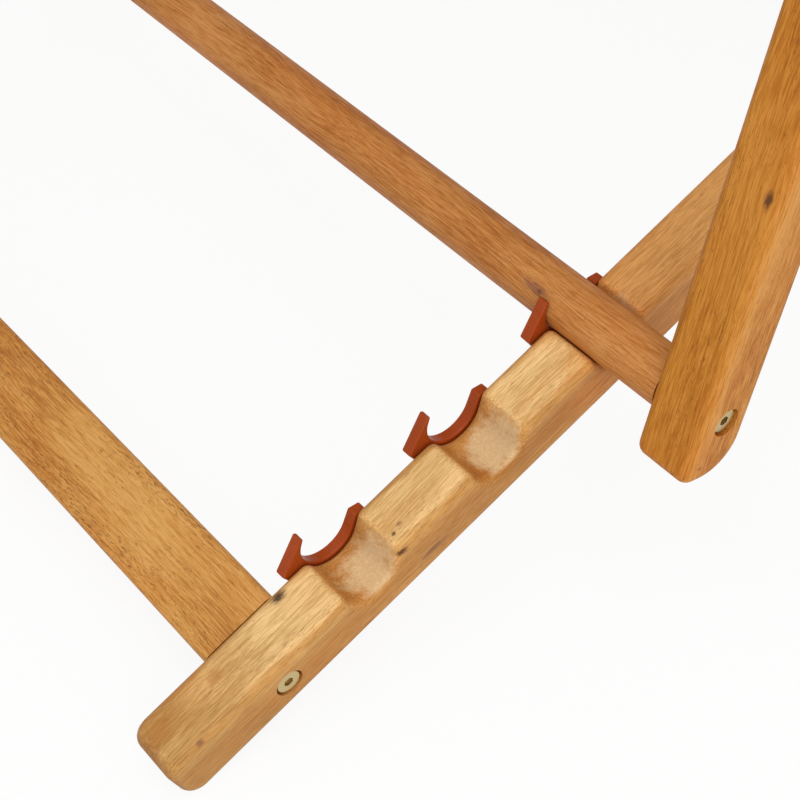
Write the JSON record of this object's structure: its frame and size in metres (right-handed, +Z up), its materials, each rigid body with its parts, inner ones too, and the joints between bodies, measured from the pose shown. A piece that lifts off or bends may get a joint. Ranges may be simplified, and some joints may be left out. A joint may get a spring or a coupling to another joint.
{
  "type": "folding beach chair",
  "caption": "Wooden folding deck chair: notched seat frame, crossing back frame and hinged prop frame whose dowel locks in moulded clips, with a canvas sling hung from bars.",
  "frame": {"origin": "on the floor, in the middle of the chair from side to side and from front to back", "axes": "+Z up; the chair faces -Y, so +Y is behind the sitter and +X is on the sitter's left"},
  "size_m": [0.6142, 0.9522, 0.8833],
  "materials": {
    "rail_wood": "oiled hardwood, honey brown",
    "leg_wood": "oiled hardwood, orange brown with dark knots",
    "dowel_wood": "oiled turned hardwood",
    "board_wood": "oiled hardwood with open pores",
    "pin_wood": "plain beech",
    "clip_plastic": "moulded, terracotta brown, half gloss",
    "screw_steel": "zinc plated, yellow passivated",
    "bolt_steel": "zinc plated, yellow passivated",
    "canvas": "plain weave cotton canvas, natural"
  },
  "bodies": {
    "seat_frame": {"seat_rail_left": "rail_wood", "seat_rail_right": "rail_wood", "rear_cross_board": "board_wood", "rear_board_pins": "pin_wood", "front_sling_bar": "dowel_wood", "notch_clip_left_front": "clip_plastic", "notch_clip_left_middle": "clip_plastic", "notch_clip_left_rear": "clip_plastic", "notch_clip_right_front": "clip_plastic", "notch_clip_right_middle": "clip_plastic", "notch_clip_right_rear": "clip_plastic", "clip_screws": "screw_steel", "seat_frame_screws": "screw_steel", "main_pivot_bolts": "bolt_steel", "main_pivot_nuts": "bolt_steel", "main_pivot_washers": "bolt_steel", "sling": "canvas"},
    "back_frame": {"back_rail_left": "rail_wood", "back_rail_right": "rail_wood", "foot_cross_board": "board_wood", "foot_board_pins": "pin_wood", "top_sling_bar": "dowel_wood", "back_frame_screws": "screw_steel", "prop_pivot_bolts": "bolt_steel", "prop_pivot_nuts": "bolt_steel", "prop_pivot_washers": "bolt_steel"},
    "prop_frame": {"prop_leg_left": "leg_wood", "prop_leg_right": "leg_wood", "prop_cross_dowel": "dowel_wood", "prop_frame_screws": "screw_steel"}
  },
  "joints": [
    {"name": "back_fold", "type": "hinge", "parent": "seat_frame", "child": "back_frame", "pos_m": [0, -0.07545, 0.23408], "axis": [1, 0, 0], "range_deg": [0, 96], "deforming": ["sling"]},
    {"name": "prop_swing", "type": "hinge", "parent": "back_frame", "child": "prop_frame", "pos_m": [0, 0.14923, 0.53901], "axis": [1, 0, 0], "range_deg": [-43.2, 0]}
  ],
  "couplings": [
    {"joint": "prop_swing", "follows": "back_fold", "ratio": -0.45}
  ]
}
